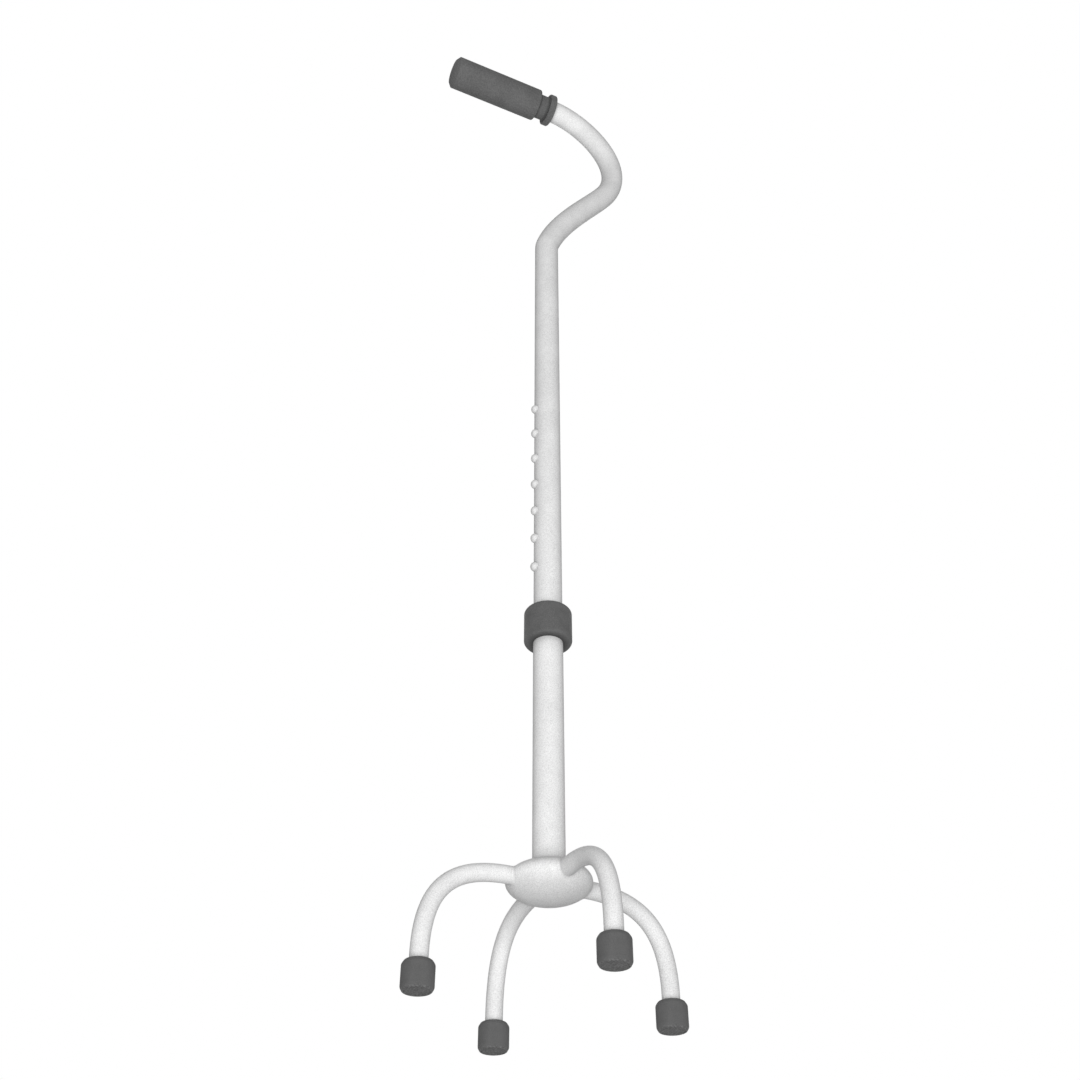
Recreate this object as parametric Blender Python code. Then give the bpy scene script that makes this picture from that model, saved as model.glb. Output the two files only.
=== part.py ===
"""Quad cane with a swan-neck handle and a telescoping shaft, at real size, in metres.

+Z is up and +X is forward, the way the neck bows. The floor is z = 0, and the shaft's
axis is the Z axis. The cane is modelled at its lowest height setting.
"""

import math

import bmesh
import bpy
from mathutils import Matrix, Vector

GAP = 0.0003  # clearance between touching pieces

# Shaft: the handle tube slides up on a slimmer tube that is fixed in the lower tube
TUBE_OUTER = 0.009525
TUBE_INNER = 0.008325
LOWER_TUBE_OUTER = 0.00975
LOWER_TUBE_INNER = 0.0083
INNER_TUBE_OUTER = 0.0080
INNER_TUBE_INNER = 0.0068
LOWER_TUBE_TOP = 0.2446
HANDLE_TUBE_END = 0.2495
INNER_TUBE_BOTTOM = 0.1200
INNER_TUBE_TOP = 0.4580

# Base: an ellipsoid hub on four bent legs
LEG_COUNT = 4
LEG_NAMES = ("front", "left", "rear", "right")
HUB_RADIUS = 0.0253
HUB_HALF_HEIGHT = 0.0112
HUB_CENTRE_Z = 0.0734
HUB_SOCKET_FLOOR = 0.0655
HUB_LEG_BORE_START = 0.0123
LEG_OUTER = 0.0052
LEG_INNER = 0.0037
LEG_REACH = 0.0761  # shaft axis to foot axis
LEG_BEND_START = 0.0238
LEG_BEND_END_Z = 0.01905
LEG_TOP_HANDLE = 0.0369  # Bezier handle along the level run
LEG_FOOT_HANDLE = 0.0382  # Bezier handle up from the foot
LEG_END_Z = 0.0048
LEG_BEND_STEPS = 12

# Rubber feet with a steel washer under each leg
FOOT_RADIUS = 0.00915
FOOT_HEIGHT = 0.01615
FOOT_TOP_BEVEL = (0.0015, 0.0023)  # radial, axial
FOOT_BOTTOM_BEVEL = (0.0011, 0.0019)
FOOT_BORE_FLOOR = 0.0030
WASHER_RADIUS = 0.0052
WASHER_HOLE = 0.0020
WASHER_THICKNESS = 0.0012

# Swan neck, in the XZ plane: two Bezier bends above a short kink
KINK_Z = 0.6332
KINK_ANGLE = math.radians(16.0)
KINK_BEND_RADIUS = 0.020
NECK_LOWER_HANDLE = 0.0394
NECK_MIDDLE = (0.0584, 0.7352)
NECK_MIDDLE_ANGLE = math.radians(28.1)  # from vertical
NECK_MIDDLE_HANDLES = (0.0232, 0.0557)
NECK_TOP_HANDLE = 0.0370
KINK_STEPS = 3
NECK_LOWER_STEPS = 8
NECK_UPPER_STEPS = 16

# Handle grip, level, running rearwards over the shaft
GRIP_Z = 0.8305
GRIP_START_X = 0.00567
GRIP_LENGTH = 0.09875
GRIP_RADIUS = 0.01412
GRIP_RING_WIDTH = 0.0060
GRIP_GROOVE_WIDTH = 0.0095
GRIP_GROOVE_RADIUS = 0.0108
GRIP_EDGE = 0.0007
GRIP_END_BEVEL = (0.0035, 0.0028)  # radial, axial
GRIP_END_WALL = 0.0048
HANDLE_TUBE_TIP_X = -0.0860
PLUG_STEM_DEPTH = 0.0080  # both tube plugs reach this far into their tube
END_PLUG_HEAD = 0.0015
GUIDE_PLUG_HEAD = 0.0022
GUIDE_PLUG_BEVEL = 0.0010

# Height setting: seven capped holes up the rear of the handle tube
HOLE_COUNT = 7
HOLE_TOP_Z = 0.4423
HOLE_PITCH = 0.02436
HOLE_RADIUS = 0.00305
CAP_RADIUS = 0.0034
CAP_SINK = 0.0002  # depth of the dome's centre below the tube's surface
CAP_STEM_RADIUS = 0.00275
CAP_CAVITY_RADIUS = 0.00225
CAP_SKIRT = 0.0009  # how far the dome's rim reaches down round the tube
BUTTON_RADIUS = 0.0018
BUTTON_TIP_X = -0.0113
BUTTON_FLANGE_RADIUS = 0.0029
BUTTON_FLANGE_X = -0.0058
BUTTON_FLANGE_THICKNESS = 0.0010
SPRING_THICKNESS = 0.0006
SPRING_WIDTH = 0.0050
SPRING_WALL_X = 0.0057
SPRING_ARM = 0.0045  # straight stretch above and below the button's axis
SPRING_DEPTH = 0.0290  # from the button's axis down to the hairpin's bend

# Locking collar round the joint, and the collet inside it
COLLAR_RADIUS = 0.01575
COLLAR_BOTTOM = 0.2365
COLLAR_TOP = 0.2609
COLLAR_BEVEL = (0.0010, 0.0015)
COLLAR_CLEARANCE = 0.0006  # to the lower tube
COLLAR_SEAT_Z = 0.2463
COLLAR_LIP_Z = 0.2589
COLLET_RADIUS = 0.0122
COLLET_SLOT = 0.0012
COLLET_SLOT_HEIGHT = 0.0040

# Facets round each kind of piece
TUBE_SIDES = 24
LEG_SIDES = 14
BIG_SIDES = 32
SMALL_SIDES = 12
HUB_STEPS = 14
SPRING_STEPS = 14
DOME_STEPS = 5
INNER_DOME_STEPS = 4
SHARP_ANGLE = math.radians(35.0)

PALE_PAINT = (0.79, 0.79, 0.79)
DARK_RUBBER = (0.125, 0.125, 0.125)
DARK_PLASTIC = (0.120, 0.120, 0.120)
PALE_CAP = (0.80, 0.80, 0.80)
BRIGHT_METAL = (0.62, 0.63, 0.64)
NATURAL_NYLON = (0.70, 0.69, 0.65)


def clear_scene():
    """Remove whatever the file holds, so that the model starts from nothing."""
    for old in list(bpy.data.objects):
        bpy.data.objects.remove(old, do_unlink=True)


def make_material(name, colour, roughness, metallic):
    """A Principled material of one plain finish."""
    finish = bpy.data.materials.new(name)
    finish.use_nodes = True
    shader = finish.node_tree.nodes["Principled BSDF"]
    shader.inputs["Base Color"].default_value = (*colour, 1.0)
    shader.inputs["Roughness"].default_value = roughness
    shader.inputs["Metallic"].default_value = metallic
    finish.diffuse_color = (*colour, 1.0)
    return finish


def mesh_from(name, bm):
    """Turn a bmesh into a mesh with its faces pointing out and its round sides smooth."""
    bmesh.ops.remove_doubles(bm, verts=bm.verts, dist=1e-7)
    bmesh.ops.recalc_face_normals(bm, faces=bm.faces)
    mesh = bpy.data.meshes.new(name)
    bm.to_mesh(mesh)
    bm.free()
    mesh.shade_smooth()
    mesh.set_sharp_from_angle(angle=SHARP_ANGLE)
    return mesh


def add_object(name, mesh, finish, location=(0, 0, 0), rotation=(0, 0, 0), parent=None):
    """Link a named piece at a world location, carried by its parent empty if it has one."""
    piece = bpy.data.objects.new(name, mesh)
    bpy.context.collection.objects.link(piece)
    if finish and not mesh.materials:
        mesh.materials.append(finish)
    piece.location = Vector(location)
    piece.rotation_euler = rotation
    if parent:
        piece.parent = parent
        piece.location -= parent.matrix_world.translation
    return piece


def add_empty(name, location, parent=None):
    """An empty on a joint's axis, which carries the pieces that move on that joint."""
    empty = add_object(name, None, None, location, parent=parent)
    bpy.context.view_layer.update()
    return empty


def turned(name, profile, sides, closed):
    """Spin a profile of (radius, height) points round Z. A closed profile makes a ring."""
    bm = bmesh.new()
    points = [bm.verts.new((radius, 0.0, height)) for radius, height in profile]
    pairs = list(zip(points, points[1:]))
    if closed:
        pairs.append((points[-1], points[0]))
    edges = [bm.edges.new(pair) for pair in pairs]
    bmesh.ops.spin(
        bm, geom=points + edges, cent=(0, 0, 0), axis=(0, 0, 1), angle=2 * math.pi, steps=sides
    )
    return mesh_from(name, bm)


def dome_profile(radius, base, steps):
    """A quarter circle of (radius, height) points, from its rim up to its pole."""
    points = []
    for step in range(steps):
        turn = math.pi / 2 * step / steps
        points.append((radius * math.cos(turn), base + radius * math.sin(turn)))
    return points + [(0, base + radius)]


def cylinder(name, radius, low, high, sides):
    """A solid cylinder on Z between two heights."""
    return turned(name, [(0, low), (radius, low), (radius, high), (0, high)], sides, False)


def bezier(start, start_handle, end_handle, end, steps):
    """Points along a cubic Bezier bend, without its first point."""
    points = []
    for step in range(1, steps + 1):
        t = step / steps
        points.append(
            (1 - t) ** 3 * start
            + 3 * (1 - t) ** 2 * t * start_handle
            + 3 * (1 - t) * t * t * end_handle
            + t**3 * end
        )
    return points


def tube_along(name, path, outer, inner, sides):
    """A hollow tube along a centreline of (x, z) points in the XZ plane, open at both ends."""
    bm = bmesh.new()
    rings = []
    for index, centre in enumerate(path):
        before = path[max(index - 1, 0)]
        after = path[min(index + 1, len(path) - 1)]
        way_in = (centre - before).normalized() if index else (after - centre).normalized()
        way_out = (after - centre).normalized() if index + 1 < len(path) else way_in
        along = (way_in + way_out).normalized()
        across = Vector((-along.y, along.x))
        ring = []
        for radius in (outer, inner):
            loop = []
            for side in range(sides):
                turn = 2 * math.pi * side / sides
                spot = centre + across * radius * math.cos(turn)
                loop.append(bm.verts.new((spot.x, radius * math.sin(turn), spot.y)))
            ring.append(loop)
        rings.append(ring)
    for side in range(sides):
        other = (side + 1) % sides
        for wall in (0, 1):
            for low, high in zip(rings, rings[1:]):
                bm.faces.new((low[wall][side], low[wall][other], high[wall][other], high[wall][side]))
        for end in (rings[0], rings[-1]):
            bm.faces.new((end[0][side], end[0][other], end[1][other], end[1][side]))
    return mesh_from(name, bm)


def add_cutter(name, mesh, location=(0, 0, 0), rotation=(0, 0, 0)):
    """A hidden solid that a Boolean uses."""
    cutter = add_object(name, mesh, None, location, rotation)
    cutter.hide_render = True
    cutter.display_type = "WIRE"
    return cutter


def combine(piece, tool, operation):
    """Cut the tool out of a piece, or join it on."""
    modifier = piece.modifiers.new(operation.title(), "BOOLEAN")
    modifier.operation = operation
    modifier.solver = "EXACT"
    modifier.object = tool


def baked_mesh(piece):
    """The piece's mesh with its modifiers applied, to share among copies."""
    bpy.context.view_layer.update()
    shape = piece.evaluated_get(bpy.context.evaluated_depsgraph_get())
    mesh = bpy.data.meshes.new_from_object(shape)
    mesh.shade_smooth()
    mesh.set_sharp_from_angle(angle=SHARP_ANGLE)
    return mesh


def hole_heights():
    """Heights of the setting holes, from the top one down."""
    return [HOLE_TOP_Z - HOLE_PITCH * index for index in range(HOLE_COUNT)]


REARWARD = (0, -math.pi / 2, 0)  # turns a piece's own +Z to point along -X


def row_of_cylinders(name, radius, low, high, heights):
    """One mesh of cylinders along -X at several heights, for cutting a row of holes."""
    bm = bmesh.new()
    middle = (low + high) / 2
    for height in heights:
        bmesh.ops.create_cone(
            bm,
            cap_ends=True,
            segments=SMALL_SIDES,
            radius1=radius,
            radius2=radius,
            depth=high - low,
            matrix=Matrix.Translation((-middle, 0, height)) @ Matrix.Rotation(-math.pi / 2, 4, "Y"),
        )
    return mesh_from(name, bm)


def make_hub(finish):
    """Ellipsoid hub with a blind socket for the lower tube and four blind bores for the legs."""
    profile = []
    for step in range(HUB_STEPS + 1):
        turn = math.pi * step / HUB_STEPS
        profile.append((HUB_RADIUS * math.sin(turn), HUB_HALF_HEIGHT * math.cos(turn)))
    profile[0] = (0, HUB_HALF_HEIGHT)
    profile[-1] = (0, -HUB_HALF_HEIGHT)
    hub = add_object("hub", turned("hub", profile, BIG_SIDES, False), finish, (0, 0, HUB_CENTRE_Z))
    socket = cylinder(
        "hub_socket_cutter",
        LOWER_TUBE_OUTER + GAP,
        HUB_SOCKET_FLOOR,
        HUB_CENTRE_Z + 2 * HUB_HALF_HEIGHT,
        TUBE_SIDES,
    )
    combine(hub, add_cutter("hub_socket_cutter", socket), "DIFFERENCE")
    bore = cylinder(
        "leg_bore_cutter", LEG_OUTER + GAP, HUB_LEG_BORE_START, 2 * HUB_RADIUS, LEG_SIDES
    )
    for index in range(LEG_COUNT):
        turn = 2 * math.pi * index / LEG_COUNT
        cutter = add_cutter(
            f"leg_bore_cutter_{index + 1}", bore, (0, 0, HUB_CENTRE_Z), (0, math.pi / 2, turn)
        )
        combine(hub, cutter, "DIFFERENCE")


def make_legs(finish):
    """Four alike bent tubes, level at the hub and upright in the feet."""
    top = HUB_CENTRE_Z
    bend_start = Vector((LEG_BEND_START, top))
    bend_end = Vector((LEG_REACH, LEG_BEND_END_Z))
    path = [Vector((HUB_LEG_BORE_START + GAP, top)), bend_start]
    path += bezier(
        bend_start,
        bend_start + Vector((LEG_TOP_HANDLE, 0)),
        bend_end + Vector((0, LEG_FOOT_HANDLE)),
        bend_end,
        LEG_BEND_STEPS,
    )
    path.append(Vector((LEG_REACH, LEG_END_Z)))
    mesh = tube_along("leg", path, LEG_OUTER, LEG_INNER, LEG_SIDES)
    for index, name in enumerate(LEG_NAMES):
        turn = 2 * math.pi * index / LEG_COUNT
        add_object(f"leg_{name}", mesh, finish, rotation=(0, 0, turn))


def make_feet(rubber, steel):
    """Four rubber feet, each a cup with bevelled rims, with a washer on its floor."""
    top_in, top_down = FOOT_TOP_BEVEL
    bottom_in, bottom_up = FOOT_BOTTOM_BEVEL
    bore = LEG_OUTER + GAP
    foot = turned(
        "foot",
        [
            (0, FOOT_BORE_FLOOR),
            (bore, FOOT_BORE_FLOOR),
            (bore, FOOT_HEIGHT),
            (FOOT_RADIUS - top_in, FOOT_HEIGHT),
            (FOOT_RADIUS, FOOT_HEIGHT - top_down),
            (FOOT_RADIUS, bottom_up),
            (FOOT_RADIUS - bottom_in, 0),
            (0, 0),
        ],
        TUBE_SIDES,
        False,
    )
    low = FOOT_BORE_FLOOR + GAP
    high = low + WASHER_THICKNESS
    washer = turned(
        "foot_washer",
        [(WASHER_HOLE, low), (WASHER_RADIUS, low), (WASHER_RADIUS, high), (WASHER_HOLE, high)],
        SMALL_SIDES,
        True,
    )
    for index, name in enumerate(LEG_NAMES):
        turn = 2 * math.pi * index / LEG_COUNT
        spot = (LEG_REACH * math.cos(turn), LEG_REACH * math.sin(turn), 0)
        add_object(f"foot_{name}", foot, rubber, spot)
        add_object(f"foot_washer_{name}", washer, steel, spot)


def ring_profile(inner, outer, low, high):
    """The cross-section of a plain straight tube."""
    return [(inner, low), (outer, low), (outer, high), (inner, high)]


def make_fixed_tubes(paint, metal, nylon):
    """The lower tube in the hub, the inner tube in the lower tube, and the plug on top."""
    lower = ring_profile(
        LOWER_TUBE_INNER, LOWER_TUBE_OUTER, HUB_SOCKET_FLOOR + GAP, LOWER_TUBE_TOP
    )
    add_object("lower_tube", turned("lower_tube", lower, TUBE_SIDES, True), paint)
    inner = ring_profile(INNER_TUBE_INNER, INNER_TUBE_OUTER, INNER_TUBE_BOTTOM, INNER_TUBE_TOP)
    tube = add_object("inner_tube", turned("inner_tube", inner, TUBE_SIDES, True), metal)
    hole = row_of_cylinders(
        "button_hole_cutter",
        BUTTON_RADIUS + GAP,
        INNER_TUBE_INNER / 2,
        TUBE_OUTER,
        hole_heights()[:1],
    )
    combine(tube, add_cutter("button_hole_cutter", hole), "DIFFERENCE")
    stem = INNER_TUBE_INNER - GAP
    foot = INNER_TUBE_TOP - PLUG_STEM_DEPTH
    head = INNER_TUBE_TOP + GAP
    crown = head + GUIDE_PLUG_HEAD
    plug = [
        (0, foot),
        (stem, foot),
        (stem, head),
        (INNER_TUBE_OUTER, head),
        (INNER_TUBE_OUTER, crown - GUIDE_PLUG_BEVEL),
        (INNER_TUBE_OUTER - GUIDE_PLUG_BEVEL, crown),
        (0, crown),
    ]
    add_object("inner_tube_plug", turned("inner_tube_plug", plug, TUBE_SIDES, False), nylon)


def make_snap_button(steel):
    """Domed pin through the top hole, with a flange inside the inner tube, on its own axis."""
    axis = add_empty("button_slide_axis", (BUTTON_FLANGE_X, 0, HOLE_TOP_Z))
    length = BUTTON_FLANGE_X - BUTTON_TIP_X
    profile = [
        (0, -BUTTON_FLANGE_THICKNESS),
        (BUTTON_FLANGE_RADIUS, -BUTTON_FLANGE_THICKNESS),
        (BUTTON_FLANGE_RADIUS, 0),
        (BUTTON_RADIUS, 0),
    ]
    profile += dome_profile(BUTTON_RADIUS, length - BUTTON_RADIUS, INNER_DOME_STEPS)
    mesh = turned("snap_button", profile, SMALL_SIDES, False)
    add_object("snap_button", mesh, steel, axis.location, REARWARD, axis)


def make_button_spring(steel):
    """Hairpin of flat spring strip inside the inner tube, pressing the button outwards."""
    button_side = BUTTON_FLANGE_X + BUTTON_FLANGE_THICKNESS + GAP + SPRING_THICKNESS / 2
    arm_top = HOLE_TOP_Z + SPRING_ARM
    arm_foot = Vector((button_side, HOLE_TOP_Z - SPRING_ARM))
    wall_foot = Vector((SPRING_WALL_X, HOLE_TOP_Z - SPRING_DEPTH / 2))
    bend_z = HOLE_TOP_Z - SPRING_DEPTH
    path = [Vector((button_side, arm_top)), arm_foot]
    path += bezier(
        arm_foot,
        Vector((button_side, bend_z - SPRING_ARM)),
        Vector((SPRING_WALL_X, bend_z - 2 * SPRING_ARM)),
        wall_foot,
        SPRING_STEPS,
    )
    path.append(Vector((SPRING_WALL_X, arm_top)))
    bm = bmesh.new()
    rings = []
    for index, centre in enumerate(path):
        along = path[min(index + 1, len(path) - 1)] - path[max(index - 1, 0)]
        along.normalize()
        off = Vector((-along.y, along.x)) * SPRING_THICKNESS / 2
        corners = []
        for sign, depth in ((1, 1), (1, -1), (-1, -1), (-1, 1)):
            spot = centre + off * sign
            corners.append(bm.verts.new((spot.x, depth * SPRING_WIDTH / 2, spot.y)))
        rings.append(corners)
    for low, high in zip(rings, rings[1:]):
        for side in range(4):
            other = (side + 1) % 4
            bm.faces.new((low[side], low[other], high[other], high[side]))
    bm.faces.new(rings[0])
    bm.faces.new(rings[-1])
    add_object("button_spring", mesh_from("button_spring", bm), steel)


def neck_path():
    """Centreline of the handle tube, from its lower end to its tip inside the grip."""
    lean = Vector((math.sin(KINK_ANGLE), math.cos(KINK_ANGLE)))
    corner = Vector((0, KINK_Z))
    reach = KINK_BEND_RADIUS * math.tan(KINK_ANGLE / 2)
    path = [Vector((0, HANDLE_TUBE_END))]
    pivot = Vector((KINK_BEND_RADIUS, KINK_Z - reach))
    for step in range(KINK_STEPS + 1):
        turn = KINK_ANGLE * step / KINK_STEPS
        path.append(pivot + KINK_BEND_RADIUS * Vector((-math.cos(turn), math.sin(turn))))
    start = corner + lean * reach
    middle = Vector(NECK_MIDDLE)
    middle_way = Vector((math.sin(NECK_MIDDLE_ANGLE), math.cos(NECK_MIDDLE_ANGLE)))
    before, after = NECK_MIDDLE_HANDLES
    path += bezier(
        start,
        start + lean * NECK_LOWER_HANDLE,
        middle - middle_way * before,
        middle,
        NECK_LOWER_STEPS,
    )
    end = Vector((GRIP_START_X, GRIP_Z))
    path += bezier(
        middle,
        middle + middle_way * after,
        end + Vector((NECK_TOP_HANDLE, 0)),
        end,
        NECK_UPPER_STEPS,
    )
    path.append(Vector((HANDLE_TUBE_TIP_X, GRIP_Z)))
    return path


def make_handle_tube(section, paint, nylon):
    """The bent handle tube with its row of setting holes, and the plug in its tip."""
    mesh = tube_along("upper_tube", neck_path(), TUBE_OUTER, TUBE_INNER, TUBE_SIDES)
    tube = add_object("upper_tube", mesh, paint, parent=section)
    holes = row_of_cylinders(
        "setting_hole_cutter", HOLE_RADIUS, TUBE_OUTER / 2, 2 * TUBE_OUTER, hole_heights()
    )
    combine(tube, add_cutter("setting_hole_cutter", holes), "DIFFERENCE")
    stem = TUBE_INNER - GAP
    plug = [
        (0, -PLUG_STEM_DEPTH),
        (stem, -PLUG_STEM_DEPTH),
        (stem, GAP),
        (TUBE_OUTER, GAP),
        (TUBE_OUTER, GAP + END_PLUG_HEAD),
        (0, GAP + END_PLUG_HEAD),
    ]
    mesh = turned("tube_end_plug", plug, TUBE_SIDES, False)
    add_object("tube_end_plug", mesh, nylon, (HANDLE_TUBE_TIP_X, 0, GRIP_Z), REARWARD, section)


def make_grip(section, rubber):
    """Sleeve grip, closed at its free end, with a ring and a groove at its neck end."""
    bore = TUBE_OUTER + GAP
    groove_start = GRIP_RING_WIDTH
    body_start = GRIP_RING_WIDTH + GRIP_GROOVE_WIDTH
    end_in, end_back = GRIP_END_BEVEL
    profile = [
        (0, GRIP_LENGTH - GRIP_END_WALL),
        (bore, GRIP_LENGTH - GRIP_END_WALL),
        (bore, 0),
        (GRIP_RADIUS - GRIP_EDGE, 0),
        (GRIP_RADIUS, GRIP_EDGE),
        (GRIP_RADIUS, groove_start - GRIP_EDGE),
        (GRIP_RADIUS - GRIP_EDGE, groove_start),
        (GRIP_GROOVE_RADIUS, groove_start),
        (GRIP_GROOVE_RADIUS, body_start),
        (GRIP_RADIUS - GRIP_EDGE, body_start),
        (GRIP_RADIUS, body_start + GRIP_EDGE),
        (GRIP_RADIUS, GRIP_LENGTH - end_back),
        (GRIP_RADIUS - end_in, GRIP_LENGTH),
        (0, GRIP_LENGTH),
    ]
    mesh = turned("handle_grip", profile, BIG_SIDES, False)
    add_object("handle_grip", mesh, rubber, (GRIP_START_X, 0, GRIP_Z), REARWARD, section)


def make_button_caps(section, finish):
    """Seven soft domed caps, each with a hollow stem through a setting hole.

    A cap's own +Z points out of the tube, and its origin is on the tube's surface.
    """
    profile = [(0, -CAP_SKIRT), (CAP_RADIUS, -CAP_SKIRT)]
    profile += dome_profile(CAP_RADIUS, -CAP_SINK, DOME_STEPS)
    cap_mesh = turned("button_cap", profile, SMALL_SIDES, False)
    spot = (-TUBE_OUTER, 0, HOLE_TOP_Z)
    pattern = add_cutter("cap_pattern", cap_mesh, spot, REARWARD)

    reach = 2 * CAP_RADIUS
    shaft = cylinder("cap_seat_cutter", TUBE_OUTER + GAP, -reach, reach, 2 * TUBE_SIDES)
    combine(pattern, add_cutter("cap_seat_cutter", shaft, (0, 0, HOLE_TOP_Z)), "DIFFERENCE")

    stem_end = TUBE_INNER - TUBE_OUTER + GAP / 2
    stem = cylinder("cap_stem", CAP_STEM_RADIUS, stem_end, CAP_SKIRT, SMALL_SIDES)
    combine(pattern, add_cutter("cap_stem_tool", stem, spot, REARWARD), "UNION")

    cavity_profile = [(0, 2 * stem_end), (CAP_CAVITY_RADIUS, 2 * stem_end)]
    cavity_profile += dome_profile(CAP_CAVITY_RADIUS, 0, INNER_DOME_STEPS)
    cavity = turned("cap_cavity_cutter", cavity_profile, SMALL_SIDES, False)
    combine(pattern, add_cutter("cap_cavity_cutter", cavity, spot, REARWARD), "DIFFERENCE")

    mesh = baked_mesh(pattern)
    for index, height in enumerate(hole_heights()):
        name = f"button_cap_{index + 1}"
        add_object(name, mesh, finish, (-TUBE_OUTER, 0, height), REARWARD, section)


def make_collet(section, nylon):
    """Sleeve on the handle tube's end, with a slotted flange that guides the inner tube."""
    bottom = COLLAR_SEAT_Z + GAP
    flange_top = HANDLE_TUBE_END - GAP
    top = COLLAR_LIP_Z - GAP
    profile = [
        (INNER_TUBE_OUTER + GAP, bottom),
        (COLLET_RADIUS, bottom),
        (COLLET_RADIUS, top),
        (TUBE_OUTER + GAP, top),
        (TUBE_OUTER + GAP, flange_top),
        (INNER_TUBE_OUTER + GAP, flange_top),
    ]
    mesh = turned("guide_collet", profile, TUBE_SIDES, True)
    collet = add_object("guide_collet", mesh, nylon, parent=section)
    for index in range(2):
        bm = bmesh.new()
        bmesh.ops.create_cube(bm, size=1.0)
        size = (4 * COLLET_RADIUS, COLLET_SLOT, COLLET_SLOT_HEIGHT)
        bmesh.ops.scale(bm, vec=size, verts=bm.verts)
        slot = mesh_from("collet_slot_cutter", bm)
        cutter = add_cutter(
            f"collet_slot_cutter_{index + 1}",
            slot,
            (0, 0, COLLAR_SEAT_Z),
            (0, 0, math.pi / 4 + math.pi / 2 * index),
        )
        combine(collet, cutter, "DIFFERENCE")


def make_collar(section, plastic):
    """Locking ring on its own axis."""
    axis = add_empty("collar_turn_axis", (0, 0, COLLAR_BOTTOM), section)
    bevel_in, bevel_up = COLLAR_BEVEL
    bore = LOWER_TUBE_OUTER + COLLAR_CLEARANCE
    profile = [
        (bore, COLLAR_BOTTOM),
        (COLLAR_RADIUS - bevel_in, COLLAR_BOTTOM),
        (COLLAR_RADIUS, COLLAR_BOTTOM + bevel_up),
        (COLLAR_RADIUS, COLLAR_TOP - bevel_up),
        (COLLAR_RADIUS - bevel_in, COLLAR_TOP),
        (TUBE_OUTER + GAP, COLLAR_TOP),
        (TUBE_OUTER + GAP, COLLAR_LIP_Z),
        (COLLET_RADIUS + GAP, COLLAR_LIP_Z),
        (COLLET_RADIUS + GAP, COLLAR_SEAT_Z),
        (bore, COLLAR_SEAT_Z),
    ]
    profile = [(radius, height - COLLAR_BOTTOM) for radius, height in profile]
    mesh = turned("lock_collar", profile, BIG_SIDES, True)
    add_object("lock_collar", mesh, plastic, (0, 0, COLLAR_BOTTOM), parent=axis)


def build_cane():
    clear_scene()
    paint = make_material("pale_paint", PALE_PAINT, 0.45, 0.0)
    rubber = make_material("dark_rubber", DARK_RUBBER, 0.85, 0.0)
    plastic = make_material("dark_plastic", DARK_PLASTIC, 0.60, 0.0)
    cap_finish = make_material("pale_cap", PALE_CAP, 0.50, 0.0)
    metal = make_material("bright_metal", BRIGHT_METAL, 0.30, 1.0)
    nylon = make_material("natural_nylon", NATURAL_NYLON, 0.50, 0.0)

    make_hub(paint)
    make_legs(paint)
    make_feet(rubber, metal)
    make_fixed_tubes(paint, metal, nylon)
    make_snap_button(metal)
    make_button_spring(metal)

    section = add_empty("upper_section", (0, 0, HANDLE_TUBE_END))
    for piece_maker, finishes in (
        (make_handle_tube, (paint, nylon)),
        (make_grip, (rubber,)),
        (make_button_caps, (cap_finish,)),
        (make_collet, (nylon,)),
        (make_collar, (plastic,)),
    ):
        piece_maker(section, *finishes)
    bpy.context.view_layer.update()


build_cane()
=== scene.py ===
import math

import bmesh
import bpy
from mathutils import Euler, Matrix, Vector, noise


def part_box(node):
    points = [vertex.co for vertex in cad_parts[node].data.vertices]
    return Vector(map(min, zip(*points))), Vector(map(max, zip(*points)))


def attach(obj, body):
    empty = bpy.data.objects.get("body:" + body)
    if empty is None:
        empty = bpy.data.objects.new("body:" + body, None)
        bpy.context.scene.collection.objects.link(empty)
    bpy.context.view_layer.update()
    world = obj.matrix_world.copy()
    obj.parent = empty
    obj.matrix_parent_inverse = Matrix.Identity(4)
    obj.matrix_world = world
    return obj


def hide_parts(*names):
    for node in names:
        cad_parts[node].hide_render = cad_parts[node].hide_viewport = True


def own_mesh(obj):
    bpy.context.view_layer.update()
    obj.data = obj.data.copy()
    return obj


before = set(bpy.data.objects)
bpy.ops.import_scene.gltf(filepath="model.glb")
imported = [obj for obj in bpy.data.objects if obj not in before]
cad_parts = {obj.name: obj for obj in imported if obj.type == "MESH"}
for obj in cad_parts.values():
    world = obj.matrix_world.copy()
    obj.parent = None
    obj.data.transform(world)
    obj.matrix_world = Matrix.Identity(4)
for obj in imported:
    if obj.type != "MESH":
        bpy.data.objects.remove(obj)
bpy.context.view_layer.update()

# Everything is in metres. +Z is up, +X is the way the neck bows, the floor is z = 0 and
# the shaft's axis is the Z axis. Boxes of the CAD nodes give the places below.

LEG_NAMES = ("front", "left", "rear", "right")
CAP_COUNT = 7

hub_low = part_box("hub")[0]
leg_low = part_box("leg_front")[0]
foot_low, foot_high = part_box("foot_front")
lower_low, lower_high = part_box("lower_tube")
inner_low, inner_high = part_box("inner_tube")
handle_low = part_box("upper_tube")[0]
grip_low, grip_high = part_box("handle_grip")
collar_low, collar_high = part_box("lock_collar")
cap_boxes = [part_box(f"button_cap_{index + 1}") for index in range(CAP_COUNT)]
cap_low, cap_high = cap_boxes[0]

# Shaft
TUBE_OUTER = 0.009525
TUBE_INNER = 0.008325
LOWER_OUTER = lower_high.x
LOWER_INNER = 0.0083
INNER_OUTER = inner_high.x
INNER_INNER = 0.0068
TUBE_LIP = 0.00035  # rounding of the cut ends of the tubes

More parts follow.
